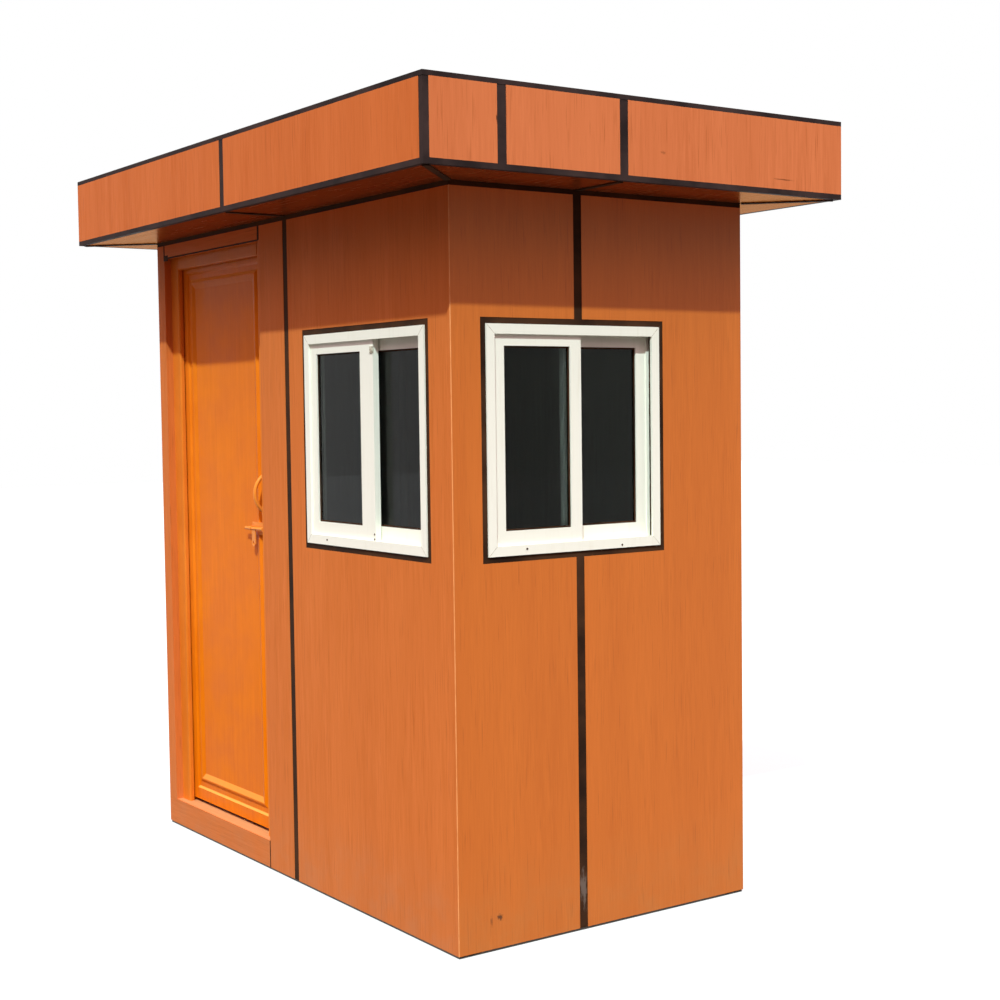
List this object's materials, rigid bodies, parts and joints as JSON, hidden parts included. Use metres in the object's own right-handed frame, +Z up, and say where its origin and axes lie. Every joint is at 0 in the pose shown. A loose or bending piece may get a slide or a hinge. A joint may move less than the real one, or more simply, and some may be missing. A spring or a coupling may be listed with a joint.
{
  "type": "security guard booth",
  "caption": "Small rectangular guard cabin faced with orange wood-grain sheet and black joints, with a hinged panelled door, white sliding windows and a flat overhanging roof.",
  "frame": {"origin": "middle of the base on the ground, which is also the middle of the roof's outline", "axes": "+Z up, -Y towards the front wall with the window, -X towards the wall with the door"},
  "size_m": [1.54, 2.44, 2.44],
  "materials": {
    "facing": "satin printed wood grain on composite sheet",
    "black_joint": "matt black sealant and trim",
    "lining": "off-white lining board",
    "window_white": "cream powder coat",
    "glass": "dark tinted reflective glass",
    "door_orange": "glossy orange moulded plastic with printed grain",
    "hardware": "painted the colour of the door",
    "base_steel": "dark primer on steel tube",
    "floor": "floor board with vinyl sheet",
    "roof_zinc": "zinc-coated flat sheet"
  },
  "bodies": {
    "booth": {"front_left_cladding": "facing", "front_right_cladding": "facing", "back_right_cladding": "facing", "back_left_cladding": "facing", "door_side_cladding": "facing", "lintel_cladding": "facing", "sill_cladding": "facing", "soffit_panels": "facing", "front_fascia": "facing", "left_fascia": "facing", "right_fascia": "facing", "back_fascia": "facing", "door_sill": "facing", "wall_joint_strips": "black_joint", "window_sealant": "black_joint", "soffit_joints": "black_joint", "fascia_trim": "black_joint", "front_wall": "lining", "left_wall": "lining", "right_wall": "lining", "back_wall": "lining", "door_lintel": "lining", "ceiling_panel": "lining", "front_window_frame": "window_white", "front_outer_sash": "window_white", "front_inner_sash": "window_white", "left_window_frame": "window_white", "left_outer_sash": "window_white", "left_inner_sash": "window_white", "front_panes": "glass", "left_panes": "glass", "lock_jamb": "door_orange", "hinge_jamb": "door_orange", "door_head": "door_orange", "frame_hinges": "hardware", "skid_rails": "base_steel", "floor_bearers": "base_steel", "roof_frame": "base_steel", "floor_deck": "floor", "roof_sheet": "roof_zinc"},
    "door": {"door_leaf": "door_orange", "door_handle": "hardware", "latch_plate": "hardware", "leaf_hinges": "hardware"},
    "latch": {"latch_bolt": "hardware"}
  },
  "joints": [
    {"name": "door_swing", "type": "hinge", "parent": "booth", "child": "door", "pos_m": [-0.467, 0.886, 1.1], "axis": [0, 0, 1], "range_deg": [0, 90]},
    {"name": "latch_slide", "type": "slide", "parent": "door", "child": "latch", "axis": [0, -1, 0], "range_m": [0, 0.04]}
  ]
}
